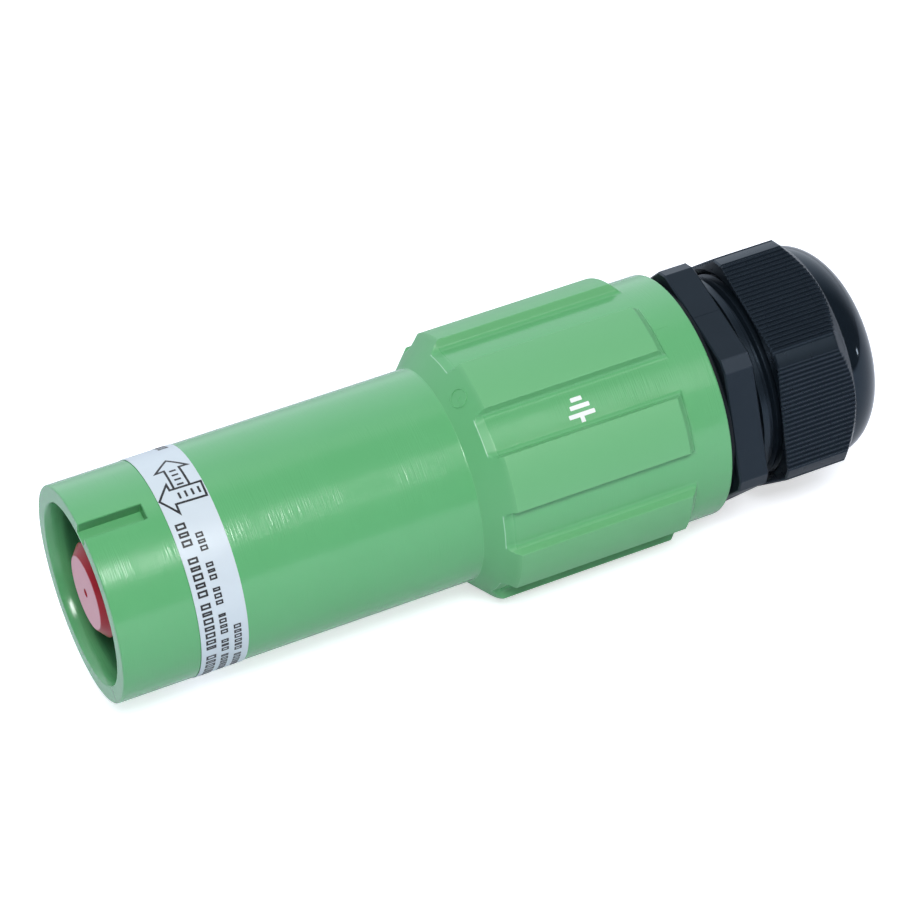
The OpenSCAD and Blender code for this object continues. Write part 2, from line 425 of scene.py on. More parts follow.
greenFinish = {
    "shine": 0.58,
    "colour": (0.108, 0.392, 0.157, 1),
    "paler": (0.123, 0.415, 0.176, 1),
    "wornAndSheen": (0.138, 0.424, 0.185, 1),  # of the pads, a paler matte tone that is partly painted sheen
    "paintedHighlight": (0.52, 0.74, 0.60, 1),  # a painted highlight along the flutes' front edges
    "seam": (0.015, 0.050, 0.028, 1),
    # painted shade deep in the bore and on the key slot's walls
    "inside": (0.045, 0.190, 0.078, 1),
    "gripShare": 0.45,  # how far the whole grip takes the pads' colour, as painted sheen on its flutes and sleeve
    "highlightShare": 0.5,
    "slotShadeShare": 0.55,
    # where each mask fades in or out
    "padRadii": (29.1, 30.2),
    "gripStations": (90.0, 92.0),
    "coneFront": (85.0, 85.4),
    "coneBack": (90.4, 91.6),
    "fluteCosines": (0.25, 0.45),
    "shadeRadii": (21.1, 21.5),
    "shadeStations": (3.0, 5.6),
    "seamStations": (0.1, 0.2),
    "seamRadians": (0.005, 0.010),
    # from where to where these are seen
    "highlightStations": (88.82, 89.02),
    "slotRadii": (22.0, 24.7),
    "slotStations": (0.4, 14.3),
    "flutes": 8,
    "seamTurn": 143.7,  # of the mould seam that crosses the mating face
    "round": 0.19,  # roughness of the turned forms
    "pads": 0.46,  # and of the pads and the cone
    "patchiness": 0.10,
    "ripple": 0.040,  # depth of the turning marks in millimetres, and that of the grain
    "grain": 0.006,
    "rippleScales": (3.0, 0.2, 4.0),
    "rippleDetail": 1.0,
    "workedRange": (0.32, 0.52),
    # scale and detail of each noise
    "cloudNoise": (0.06, 3.0),
    "patchNoise": (0.35, 4.0),
    "workedNoise": (0.09, 2.0),
    "grainNoise": (2.2, 2.0),
}


def greenPlastic():
    # turned forms show patches of turning marks, and the pads and the cone a fine grain
    look = greenFinish
    paint = Paint("greenPlastic", {"Specular IOR Level": look["shine"]})
    place = paint.place()
    parts = paint.cylinder(place)
    station, radius, turn = parts
    onPads = paint.band(radius, *look["padRadii"])
    onCone = paint.band(station, *look["coneFront"]) * (1 - paint.band(station, *look["coneBack"]))
    onGrip = paint.band(station, *look["gripStations"]) * look["gripShare"]
    onFlute = paint.band(paint.maths("COSINE", turn * look["flutes"]), *look["fluteCosines"])
    offSeam = paint.maths("ABSOLUTE", turn - math.radians(look["seamTurn"]))
    onFace = 1 - paint.band(station, *look["seamStations"])
    # painted shade deep in the bore, and with inSlot on the walls of the key slot
    deep = (1 - paint.band(radius, *look["shadeRadii"])) * paint.band(station, *look["shadeStations"])
    inSlot = paint.window(radius, *look["slotRadii"]) * paint.window(station, *look["slotStations"])
    masks = {
        # the pads are paler, partly their matte tone and partly painted sheen, and the grip shares it as
        # painted sheen
        "wornAndSheen": paint.maths("MAXIMUM", onPads * (1 - onCone), onGrip),
        # a painted highlight along the front edges of the flutes
        "paintedHighlight": onFlute * paint.window(station, *look["highlightStations"]) * look["highlightShare"],
        "seam": onFace * (1 - paint.band(offSeam, *look["seamRadians"])),
        "inside": paint.maths("MAXIMUM", deep, inSlot * look["slotShadeShare"]),
    }
    colour = paint.mix(paint.noise(place, *look["cloudNoise"]), look["colour"], look["paler"])
    for name, mask in masks.items():
        colour = paint.mix(mask, colour, look[name])
    paint.feed("Base Color", colour)
    matte = paint.maths("MAXIMUM", onPads, onCone)
    patchy = paint.noise(place, *look["patchNoise"]) * look["patchiness"] - look["patchiness"] / 2
    paint.feed("Roughness", patchy + matte * (look["pads"] - look["round"]) + look["round"])
    worked = paint.band(paint.noise(place, *look["workedNoise"]), *look["workedRange"])
    marks = paint.marks(parts, look["rippleScales"], look["rippleDetail"])
    ripple = marks * worked * (1 - matte) * look["ripple"]
    grain = paint.noise(place, *look["grainNoise"]) * matte * look["grain"]
    paint.bump(ripple + grain, 1.0)  # both heights are in millimetres already
    return paint.material


blackFinish = {
    "colour": (0.004, 0.007, 0.011, 1),
    "paler": (0.007, 0.011, 0.016, 1),
    # painted highlight on the hex's corner facets
    "paintedHighlight": (0.016, 0.020, 0.027, 1),
    "sheen": (0.62, 0.80, 1.0, 1),
    "patchiness": 0.04,
    "cloudNoise": (0.15, 3.0),
    "patchNoise": (0.6, 3.0),
    "grainNoise": (4.0, 2.0),
    # of each moulding: roughness before and after the stations where its gloss begins,
    # depth of its grain, and the radii past which its corner facets get a painted highlight
    "blackGland": {"rough": (0.41, 0.30), "gloss": (154.4, 154.7), "grain": 0.003, "corners": (29.58, 29.66)},
    "blackNut": {"rough": (0.26, 0.06), "gloss": (177.6, 178.6), "grain": 0.0012, "corners": None},
}


def blackPlastic(name):
    look, moulding = blackFinish, blackFinish[name]
    paint = Paint(name, {"Specular Tint": look["sheen"]})
    place = paint.place()
    station, radius = paint.cylinder(place)[:2]
    colour = paint.mix(paint.noise(place, *look["cloudNoise"]), look["colour"], look["paler"])
    # the corner facets get a painted highlight
    if moulding["corners"]:
        colour = paint.mix(paint.band(radius, *moulding["corners"]), colour, look["paintedHighlight"])
    paint.feed("Base Color", colour)
    glossy = paint.band(station, *moulding["gloss"])
    matte, gloss = moulding["rough"]
    patchy = paint.noise(place, *look["patchNoise"]) * look["patchiness"]
    paint.feed("Roughness", glossy * (gloss - matte) + matte + patchy)
    paint.bump(paint.noise(place, *look["grainNoise"]) * (1 - glossy), moulding["grain"])
    return paint.material


plainFinish = {"cloudDetail": 3.0, "grainNoise": (5.0, 2.0)}


def simplePaint(name, colour, roughness, shine=0.5, spread=0.06, scale=0.5, grain=0.001):
    # spread is how far the roughness varies, and half of how far the colour does
    paint = Paint(name, {"Specular IOR Level": shine})
    place = paint.place()
    cloud = paint.noise(place, scale, plainFinish["cloudDetail"])
    darker = tuple(c * (1 - spread * 2) for c in colour) + (1,)
    paint.feed("Base Color", paint.mix(cloud, darker, colour + (1,)))
    paint.feed("Roughness", cloud * spread + (roughness - spread / 2))
    paint.bump(paint.noise(place, *plainFinish["grainNoise"]), grain)
    return paint.material


redFinish = {
    "side": (0.37, 0.010, 0.022, 1),
    # the face's paleness is a painted sheen
    "face": (0.68, 0.310, 0.370, 1),
    "faceFade": 0.2,
    "dimpleRadii": (1.0, 1.15),
    "shine": 0.25,
    "roughness": 0.30,
    "patchiness": 0.06,
    "patchNoise": (0.5, 3.0),
    "grain": 0.0006,
}


def guardPlastic(faceRadius):
    # deep red, with a paler face round its dimple that is a painted sheen
    look = redFinish
    paint = Paint("redPlastic", {"Specular IOR Level": look["shine"]})
    place = paint.place()
    radius = paint.cylinder(place)[1]
    pastFace = paint.band(radius, faceRadius - look["faceFade"], faceRadius + look["faceFade"])
    # the pale face round the dimple is a painted sheen
    onFace = (1 - pastFace) * paint.band(radius, *look["dimpleRadii"])
    paint.feed("Base Color", paint.mix(onFace, look["side"], look["face"]))
    paint.feed("Roughness", paint.noise(place, *look["patchNoise"]) * look["patchiness"] + look["roughness"])
    paint.bump(paint.noise(place, *plainFinish["grainNoise"]), look["grain"])
    return paint.material


metalFinish = {"scales": (6, 6, 2), "detail": 2.0, "dark": 0.86, "spread": 0.12, "depth": 0.004}


def turnedMetal(name, colour, roughness):
    # fine turning marks round the axis
    look = metalFinish
    paint = Paint(name, {"Metallic": 1.0})
    marks = paint.marks(paint.cylinder(paint.place()), look["scales"], look["detail"])
    darker = tuple(c * look["dark"] for c in colour) + (1,)
    paint.feed("Base Color", paint.mix(marks, darker, colour + (1,)))
    paint.feed("Roughness", marks * look["spread"] + (roughness - look["spread"] / 2))
    paint.bump(marks, look["depth"])
    return paint.material


green = greenPlastic()
blackBody = blackPlastic("blackGland")
blackNut = blackPlastic("blackNut")
rubber = simplePaint(
    "blackRubber", (0.005, 0.008, 0.012), 0.5, shine=0.2, spread=0.05, scale=0.8, grain=0.0015
)
film = simplePaint("labelFilm", (0.60, 0.675, 0.735), 0.34, spread=0.02, scale=0.3, grain=0.0012)
ink = simplePaint("blackInk", (0.020, 0.020, 0.024), 0.42, spread=0.05, scale=2.0, grain=0.0005)
whiteInk = simplePaint("whiteInk", (0.86, 0.88, 0.90), 0.45, spread=0.03, scale=2.0, grain=0.001)
ivory = simplePaint("ivoryPlastic", (0.70, 0.66, 0.55), 0.42)
silver = turnedMetal("silverPlate", (0.82, 0.81, 0.78), 0.26)
steel = turnedMetal("steelPlain", (0.42, 0.42, 0.43), 0.34)
say("materials made")

grip = {
    "pads": 8,
    "padTop": 31.35,
    "padHalf": 12.0,  # degrees, at the top
    "floor": 28.8,
    "fillet": 1.5,
    "edge": 0.22,
    "turn": 22.5,  # of the first pad's middle
    "leadEnd": 91.4,
    "leadRing": 92.2,
    "leadDrop": 0.2,
    "section": 96.0,  # station at which the section is drawn
    "middle": 115,
    "tailStart": 134.0,
    "tailEnd": 136.35,
    "tailRounds": (0.6, 0.5),
    "tailShares": (0.2, 0.35, 0.5, 0.62, 0.74, 0.84),
    "blend": 138.0,
}
housing = {
    "barrel": 25.0,
    "coneFoot": 85.2,
    "footRound": 0.45,
    "coneRound": 0.3,
    "coneRings": (30.9, 30.5, 30.1, 29.8, 29.5, 29.25, 29.05, 28.85, 28.6, 28.35),
    "barrelRings": (60.0, 36.0),
    "slotRing": 17.0,
    "faceRound": 0.4,
    "mouth": 21.0,  # of the lead-in at the face, which narrows to the lip
    "flare": 0.25,
    "flareDepth": 0.3,
    "flareRounds": (0.1, 0.12),
    "lip": 20.45,
    "lipStart": 1.6,
    "lipEnd": 4.0,
    "lipTaper": 0.05,
    "lipSlope": 3.0,
    "lipRounds": (6.0, 2.0),
    "socket": 21.0,
    "wallFront": 58.0,
    "wallHole": 14.0,
    "wallBack": 70.0,
    "cavity": 18.9,
    "threadFront": 129.0,
    "thread": 20.0,
    "chamfer": 0.8,
    "end": 145.4,
    "endRound": 0.6,
    "labelEdge": 17.96,
    "labelGap": 0.22,
    "gapDepth": 0.18,
    "gapSlope": 0.02,
    "lineTuck": 0.8,  # how far the mould line reaches under the pad's tail
    "lineEnd": 139.8,
}
slot = {
    "turn": 23.2,
    "width": 4.0,
    "floor": 21.8,
    "length": 14.45,
    "chamferFrom": 24.76,
    "ahead": 2.0,  # how far its cutter stands before the face, and above the chamfer
    "above": 2.0,
}


def arcPoints(centre, radius, begin, end, steps):
    # points (up, across) as (radius from the axis, turn)
    points = []
    for k in range(steps + 1):
        angle = math.radians(begin + (end - begin) * k / steps)
        points.append(polar(centre[1] + radius * math.sin(angle), centre[0] + radius * math.cos(angle)))
    return points


def padHalfSection():
    # from the middle of a pad's top, down its side and fillet, to the middle of the flute
    top, floor, edge, fillet = grip["padTop"], grip["floor"], grip["edge"], grip["fillet"]
    side = top * math.sin(math.radians(grip["padHalf"]))
    edgeUp = math.sqrt((top - edge) ** 2 - (side - edge) ** 2)
    edgeTurn = polar(side - edge, edgeUp)[1]
    filletUp = math.sqrt((floor + fillet) ** 2 - (side + fillet) ** 2)
    foot = polar(side + fillet, filletUp)[1]
    middle = 180 / grip["pads"]
    topSteps, edgeSteps, filletSteps, floorSteps = 7, 4, 6, 5
    points = [(top, edgeTurn * k / topSteps) for k in range(topSteps)]
    points += arcPoints((edgeUp, side - edge), edge, edgeTurn, 90, edgeSteps)
    points += arcPoints((filletUp, side + fillet), fillet, -90, foot - 180, filletSteps)
    points += [(floor, foot + (middle - foot) * k / floorSteps) for k in range(1, floorSteps + 1)]
    return points


def makeSlotCutter():
    # a block that widens above the slot's chamfer, turned to the slot's place
    ahead, above = slot["ahead"], slot["above"]
    size = Vector((slot["length"] + ahead, slot["width"], slot["chamferFrom"] - slot["floor"]))
    bpy.ops.mesh.primitive_cube_add(size=mm, location=(0, 0, 0))
    cutter = bpy.context.object
    cutter.scale = size
    bpy.ops.object.transform_apply(location=False, rotation=False, scale=True)
    editMode(cutter)
    pick(cutter, lambda p: p.z > 0)
    bpy.ops.mesh.extrude_region_move(TRANSFORM_OT_translate={"value": (0, 0, above * mm)})
    wider = (1 + 2 * above / size.x, 1 + 2 * above / size.y, 1)
    bpy.ops.transform.resize(value=wider, center_override=(0, 0, 0))
    finishMesh()
    cutter.rotation_euler = (math.radians(slot["turn"]), 0, 0)
    cutter.location = around((slot["length"] - ahead) / 2, slot["floor"] + size.z / 2, slot["turn"])
    bpy.ops.object.transform_apply()
    return cutter


def makeHousing():
    barrel, floor, top = housing["barrel"], grip["floor"], grip["padTop"]
    coneFoot, mouth, lip = housing["coneFoot"], housing["mouth"], housing["lip"]
    edgeRound, flareRound = housing["flareRounds"]
    lipRound, backRound = housing["lipRounds"]
    # from the pads forward over the cone and barrel, in at the mouth and back through the inside
    outline = [
        (grip["section"], top),
        (coneFoot + (top - barrel), top, housing["coneRound"]),
        (coneFoot, barrel, housing["footRound"]),
        (0, barrel, housing["faceRound"]),
        (0, mouth + housing["flare"], edgeRound),
        (housing["flareDepth"], mouth, flareRound),
        (housing["lipStart"], lip + housing["lipTaper"], lipRound),
        (housing["lipEnd"], lip, backRound),
        (housing["lipEnd"] + housing["lipSlope"], housing["socket"], backRound),
        (housing["wallFront"], housing["socket"]),
        (housing["wallFront"], housing["wallHole"]),
        (housing["wallBack"], housing["wallHole"]),
        (housing["wallBack"], housing["cavity"]),
        (housing["threadFront"], housing["cavity"]),
        (housing["threadFront"], housing["thread"]),
        (housing["end"] - housing["chamfer"], housing["thread"]),
        (housing["end"], housing["thread"] + housing["chamfer"]),
        (housing["end"], floor, housing["endRound"]),
        (grip["blend"], floor),
    ]
    arcSteps = 5
    outside = rounded(outline, closed=False, steps=arcSteps)
    # the first two arcs are the cone's top and its foot
    topEnd = 1 + arcSteps + 1
    footEnd = topEnd + arcSteps + 1
    # rings where the cone crosses the sides of the pads
    cone = outside[1:topEnd] + [(coneFoot + r - barrel, r) for r in housing["coneRings"]]
    # rings along the barrel, at the groove before the label and behind the key slot
    grooveEnd, slope = housing["labelEdge"], housing["gapSlope"]
    grooveStart, grooveFloor = grooveEnd - housing["labelGap"], barrel - housing["gapDepth"]
    along = [(s, barrel) for s in housing["barrelRings"]]
    along += [(grooveEnd, barrel), (grooveEnd - slope, grooveFloor)]
    along += [(grooveStart + slope, grooveFloor), (grooveStart, barrel), (housing["slotRing"], barrel)]

    tube = ringSection("housing_shell", grip["section"], padHalfSection(), grip["pads"], grip["turn"])
    leadStart = coneFoot + floor - grip["leadDrop"] - barrel
    tube.extend(grip["leadRing"])
    for station, radius in sorted(cone, key=lambda p: -p[0]):
        tube.extend(station, radius)
        if leadStart < station < grip["leadEnd"]:
            part = (grip["leadEnd"] - station) / (grip["leadEnd"] - leadStart)
            tube.lowest(min(radius, floor - grip["leadDrop"] * part))
    tube.follow(outside[topEnd:footEnd] + along + outside[footEnd:])

    # from the pads back over their tails to the sleeve
    tube.restart()
    tube.extend(grip["middle"])
    tailStart, tailEnd = grip["tailStart"], grip["tailEnd"]
    topRound, footRound = grip["tailRounds"]
    corners = [(grip["middle"], top), (tailStart, top, topRound), (tailEnd, floor, footRound)]
    tail = rounded(corners + [(grip["blend"], floor)], closed=False)[1:]
    for share in grip["tailShares"]:
        tail.append((tailStart + share * (tailEnd - tailStart), top - share * (top - floor)))
    tube.follow(sorted(tail))
    piece = finishMesh()
    subtract(piece, makeSlotCutter())
    line = mouldLine(tailEnd - housing["lineTuck"], housing["lineEnd"], grip["turn"], floor)
    settle(join([piece, line]), green, ["housing"])


makeHousing()
say("housing made")

guard = {
    "face": 1.25,
    "faceRadius": 8.5,
    "faceRound": 0.7,
    "bevel": 2.0,
    "bevelRound": 0.3,
    "end": 14.0,
    "endRound": 0.1,
    "radius": 10.9,
    "dimple": 1.0,
    "depth": 0.9,
    "dimpleSlope": 0.2,
    "dimpleRounds": (0.15, 0.1),
    "hollow": 5.0,  # radius and depth of the stud's hole in its back
    "hollowDepth": 8,
    "steps": 96,
}


def makeGuard():
    # from the dimple out over the face and its bevel, down the side and in behind
    face, end, radius, dimple = guard["face"], guard["end"], guard["radius"], guard["dimple"]
    floorRound, rimRound = guard["dimpleRounds"]
    corners = [
        (face + guard["depth"], 0),
        (face + guard["depth"], dimple - guard["dimpleSlope"], floorRound),
        (face, dimple, rimRound),
        (face, guard["faceRadius"], guard["faceRound"]),
        (face + guard["bevel"], radius, guard["bevelRound"]),
        (end, radius, guard["endRound"]),
        (end, guard["hollow"]),
        (end - guard["hollowDepth"], guard["hollow"]),
        (end - guard["hollowDepth"], 0),
    ]
    piece = lathe("finger_cap", rounded(corners, closed=False), guard["steps"])
    settle(piece, guardPlastic(guard["faceRadius"]), ["finger_guard"])


makeGuard()

label = {"start": 17.96, "end": 28.98, "inner": 25.0, "thick": 0.12, "steps": 180}


def makeLabel():
    start, end, inner = label["start"], label["end"], label["inner"]
    outer = inner + label["thick"]
    outline = [(start, inner), (start, outer), (end, outer), (end, inner), (start, inner)]
    settle(lathe("label_film", outline, label["steps"]), film, ["label_band"])


makeLabel()

printing = {
    "thick": 0.03,
    "line": 0.5,
    "lineStep": 0.6,
    # the corners of two arrows, as (station, turn), and the short strokes in them
    "push": [
        (18.3, 21.6), (21.4, 12.9), (21.45, 16.9), (28.6, 17.2), (28.4, 26.2), (21.35, 25.7), (21.3, 30.9)
    ],
    "lock": [(22.5, 17.0), (22.6, 3.1), (20.6, 3.3), (24.4, -5.0), (27.9, 3.4), (26.0, 3.2), (26.1, 17.0)],
    "pushStrokes": {"stations": (22.9, 24.4, 25.9, 27.4), "long": 0.5, "turns": (19.7, 23.5)},
    "lockStrokes": {"turns": (4.2, 7.6, 11.0, 14.4), "wide": 1.1, "station": 24.3, "long": 1.5},
    # rows of plain boxes: station, height, stroke, degrees from a wide box to the next,
    # then the turns at which runs begin and end
    "rows": [
        (20.25, 2.3, 0.46, 4.8, [(36, 51), (54, 75), (78, 109), (112, 143)]),
        (23.45, 1.7, 0.38, 3.7, [(43, 55), (58.5, 68), (71.5, 83), (86, 99), (102.5, 112), (115, 138)]),
        (26.5, 1.7, 0.36, 3.7, [(95, 115), (118.5, 140)]),
        (26.4, 2.3, 0.46, 4.8, [(-66, -46), (-42, -20)]),
    ],
    "widths": [0.72, 0.56, 0.72, 0.64, 0.5],  # shares of those degrees
    "space": 0.28,
}


def offsetPath(path, shift, closed):
    # a path in the plane moved sideways, with mitred corners
    moved = []
    for i, point in enumerate(path):
        sides = []
        if closed or i:
            sides.append((point - path[i - 1]).normalized())
        if closed or i < len(path) - 1:
            sides.append((path[(i + 1) % len(path)] - point).normalized())
        normals = [Vector((-d.y, d.x)) for d in sides]
        middle = sum(normals, Vector((0, 0))).normalized()
        moved.append(point + middle * shift / middle.dot(normals[0]))
    return moved


def outlineBand(name, corners, radius, closed):
    # a line of even width drawn on the cylinder, from (station, turn) corners
    flat = [Vector((s, radius * math.radians(t))) for s, t in corners]
    pieces = []
    for k, shift in enumerate((printing["line"] / 2, -printing["line"] / 2)):
        side = offsetPath(flat, shift, closed)
        ends = list(zip(side, side[1:] + side[:1] if closed else side[1:]))
        points = []
        for (a, b), (c, d) in zip(ends, zip(flat, flat[1:] + flat[:1] if closed else flat[1:])):
            count = max(1, math.ceil((d - c).length / printing["lineStep"]))
            points += [a.lerp(b, step / count) for step in range(count)]
        if not closed:
            points.append(side[-1])
        edge = [around(p.x, radius, math.degrees(p.y / radius)) for p in points]
        drawLine("%s_%d" % (name, k), edge + edge[:1] if closed else edge)
        merge()
        pieces.append(objectMode())
    piece = join(pieces)
    editMode(piece)
    selectAll()
    bpy.ops.mesh.bridge_edge_loops()
    return finishMesh()


def printBox(station, height, stroke, begin, end, radius):
    # an upright box drawn as four strokes
    wide = math.degrees(stroke / radius)
    edge = (height - stroke) / 2
    bars = [(station, height, begin, begin + wide), (station, height, end - wide, end)]
    bars += [(place, stroke, begin + wide, end - wide) for place in (station - edge, station + edge)]
    return [curvedBar(*bar, radius) for bar in bars]


def makePrint():
    radius = label["inner"] + label["thick"] + printing["thick"] / 2
    pieces = [
        outlineBand("push_arrow", printing["push"], radius, True),
        outlineBand("lock_arrow", printing["lock"], radius, False),
    ]
    push, lock = printing["pushStrokes"], printing["lockStrokes"]
    for station in push["stations"]:
        pieces.append(curvedBar(station, push["long"], *push["turns"], radius))
    for turn in lock["turns"]:
        pieces.append(curvedBar(lock["station"], lock["long"], turn, turn + lock["wide"], radius))
    widths = printing["widths"]
    for station, height, stroke, pitch, runs in printing["rows"]:
        drawn = 0
        for turn, end in runs:
            while turn + pitch / 2 < end:
                share = widths[drawn % len(widths)]
                pieces += printBox(station, height, stroke, turn, turn + pitch * share, radius)
                turn += pitch * (share + printing["space"])
                drawn += 1
    piece = thicken(join(pieces), printing["thick"])
    piece.name = "label_print"
    settle(piece, ink)


makePrint()
say("label printed")

earth = {
    "bars": [(111.2, 113.9, 41.8), (110.4, 115.1, 45.3), (109.5, 115.8, 49.0)],
    "stem": (112.5, 49.0, 55.1),
    "line": 1.0,
    "corner": 0.2,
    "thick": 0.05,
    "stemLift": 0.004,
}


def plate(name, s0, s1, t0, t1, radius, corner):
    # a thin plate with rounded corners that follows the cylinder
    wide, tall = (s1 - s0) / 2, math.radians(t1 - t0) / 2 * radius
    outline, count = [], 24
    for k in range(count):
        angle = 2 * math.pi * (k + 0.5) / count
        x = math.copysign(wide - corner, math.cos(angle)) + corner * math.cos(angle)
        y = math.copysign(tall - corner, math.sin(angle)) + corner * math.sin(angle)
        outline.append(((s0 + s1) / 2 + x, (t0 + t1) / 2 + math.degrees(y / radius)))
    drawLine(name, [around(s, radius, t) for s, t in outline + outline[:1]])
    merge()
    bpy.ops.mesh.edge_face_add()
    return objectMode()


def makeEarthSign():
    radius = grip["floor"] + earth["thick"] / 2
    reach = earth["line"] / 2
    half = math.degrees(reach / radius)
    pieces = []
    for s0, s1, turn in earth["bars"]:
        pieces.append(plate("earth_bar", s0, s1, turn - half, turn + half, radius, earth["corner"]))
    middle, top, bottom = earth["stem"]
    over = radius + earth["stemLift"]
    pieces.append(plate("earth_stem", middle - reach, middle + reach, top, bottom, over, earth["corner"]))
    piece = thicken(join(pieces), earth["thick"])
    piece.name = "earth_sign"
    settle(piece, whiteInk)


makeEarthSign()
say("earth sign made")

dateRing = {"station": 88.3, "turn": 23.1, "radius": 2.1, "wire": 0.17, "arrow": (0.75, 0.6), "tall": 0.22}


def makeDateRing():
    # a moulder's plain date dial, half sunk in the cone
    onCone = housing["barrel"] + dateRing["station"] - housing["coneFoot"]
    centre = around(dateRing["station"], onCone, dateRing["turn"])
    outward = (around(0, 1, dateRing["turn"]) - onAxis(0)).normalized()
    facing = (outward - Vector((1, 0, 0))).normalized()
    place = {"location": centre, "rotation": facing.to_track_quat("Z", "X").to_euler()}
    bpy.ops.mesh.primitive_torus_add(
        **place,
        major_radius=dateRing["radius"] * mm,
        minor_radius=dateRing["wire"] * mm,
        major_segments=48,
        minor_segments=8,
    )
    ring = bpy.context.object
    wide, narrow = dateRing["arrow"]
    bpy.ops.mesh.primitive_cone_add(
        **place,
        vertices=3,
        radius1=wide * mm,
        radius2=narrow * mm,
        depth=dateRing["tall"] * mm,
    )
    arrow = bpy.context.object
    piece = join([ring, arrow])
    piece.name = "date_dial"
    settle(piece, green)


makeDateRing()

gasket = {"start": 145.4, "end": 147.0, "inner": 20.1, "outer": 27.0, "round": 0.5, "steps": 128}


def makeGasket():
    start, end, edge = gasket["start"], gasket["end"], gasket["round"]
    inner, outer = gasket["inner"], gasket["outer"]
    outline = rounded([(start, inner), (start, outer, edge), (end, outer, edge), (end, inner)])
    piece = lathe("gland_ring", outline + outline[:1], gasket["steps"])
    settle(piece, rubber, ["gland_gasket"])


makeGasket()
say("guard, label and gasket made")

hexSides = 6
hexHalf = 30  # degrees from the middle of a flat to the corner
gland = {
    "flat": 26.5,
    "cornerCut": 0.92,
    "turn": 49.6,
    "hexStart": 147.0,
    "hexEnd": 154.35,
    "section": 150.5,
    "bevel": 0.35,
    "chamfer": 0.8,
    "screwChamfer": 0.5,
    "shelf": 0.6,
    "thread": 19.95,
    "threadFront": 129.0,
    "passage": 16.5,
    "cageSeat": 21.1,
    "cageStart": 163.0,
    "screwEnd": 168.0,
    "root": 23.0,
    "rootRound": 0.2,
    "neck": 22.7,
    "neckRound": 0.1,
    "neckEnd": 155.6,
    "collar": 24.6,
    "collarRound": 0.25,
    "collarEnd": 157.4,
    "lineInset": 0.4,
}
screw = {
    "crest": 24.2,
    "pitch": 2.0,
    "back": 1.2,  # how far the ridge begins inside the collar
    "sink": 0.2,
    "ridge": (0.6, 0.8, 1.4),  # its stations: crest, end of the crest and foot
    "room": 1.6,
    "steps": 96,
}


def hexHalfSection():
    # from the middle of a flat to the middle of a cut corner
    flat = gland["flat"]
    cornerUp = flat / math.cos(math.radians(hexHalf)) - gland["cornerCut"]
    halfFacet = gland["cornerCut"] * math.tan(math.radians(90 - hexHalf))
    edgeTurn = hexHalf - polar(halfFacet, cornerUp)[1]
    flatTurns = [0, 4, 8, 12, 16, 20, 23, edgeTurn]
    points = [(flat / math.cos(math.radians(t)), t) for t in flatTurns]
    for turn in (edgeTurn + (hexHalf - edgeTurn) / 2, hexHalf):
        points.append((cornerUp / math.cos(math.radians(hexHalf - turn)), turn))
    return points


def makeGland():
    hexStart, hexEnd, root, collar = gland["hexStart"], gland["hexEnd"], gland["root"], gland["collar"]
    rootRound, neckRound, collarRound = gland["rootRound"], gland["neckRound"], gland["collarRound"]
    turn = gland["turn"] + hexHalf
    tube = ringSection("gland_hex", gland["section"], hexHalfSection(), hexSides, turn)
    tube.bevel(hexStart, gland["bevel"], gland["flat"])
    # forward over the front thread, back through the passage and forward to the collar
    inside = [
        (hexStart, gland["thread"]),
        (gland["threadFront"] + gland["chamfer"], gland["thread"]),
        (gland["threadFront"], gland["thread"] - gland["chamfer"]),
        (gland["threadFront"], gland["passage"]),
        (gland["cageStart"], gland["passage"]),
        (gland["cageStart"], gland["cageSeat"]),
        (gland["screwEnd"], gland["cageSeat"]),
        (gland["screwEnd"], root - gland["screwChamfer"]),
        (gland["screwEnd"] - gland["screwChamfer"], root),
        (gland["collarEnd"], root, rootRound),
        (gland["collarEnd"], collar, collarRound),
        (gland["neckEnd"], collar, collarRound),
        (gland["neckEnd"], gland["neck"], neckRound),
        (hexEnd, gland["neck"], neckRound),
        (hexEnd, collar + gland["shelf"]),
    ]
    tube.follow(rounded(inside, closed=False))
    tube.restart()
    tube.bevel(hexEnd, gland["bevel"], gland["flat"])
    tube.extend(hexEnd, collar + gland["shelf"])
    return finishMesh()


def makeScrewThread():
    # one closed ridge, wound round the root with a live screw that is then applied
    start, root = gland["collarEnd"] - screw["back"], gland["root"] - screw["sink"]
    rise, level, foot = screw["ridge"]
    ridge = [(start, root), (start + rise, screw["crest"]), (start + level, screw["crest"])]
    ridge += [(start + foot, root), (start, root)]
    lift = Vector((0, 0, axisZ))
    piece = drawLine("gland_thread", [around(s, r) - lift for s, r in ridge])
    merge()
    objectMode()
    turns = math.floor((gland["screwEnd"] - start - screw["room"]) / screw["pitch"])
    settings = {
        "axis": "X",
        "angle": 2 * math.pi * turns,
        "screw_offset": screw["pitch"] * turns * mm,
        "steps": screw["steps"] * turns,
        "render_steps": screw["steps"] * turns,
        "use_merge_vertices": False,
    }
    addModifier(piece, "SCREW", settings)
    piece.location = lift
    bpy.ops.object.transform_apply()
    editMode(piece)
    selectAll("DESELECT")
    bpy.ops.mesh.select_non_manifold()
    bpy.ops.mesh.edge_face_add()
    return finishMesh()


lineStart, lineEnd = gland["hexStart"] + gland["lineInset"], gland["hexEnd"] - gland["lineInset"]
glandLine = mouldLine(lineStart, lineEnd, gland["turn"] - hexHalf, gland["flat"])
glandPiece = join([makeGland(), makeScrewThread(), glandLine])
settle(glandPiece, blackBody, ["gland_body"], smooth=24)
say("gland body made")

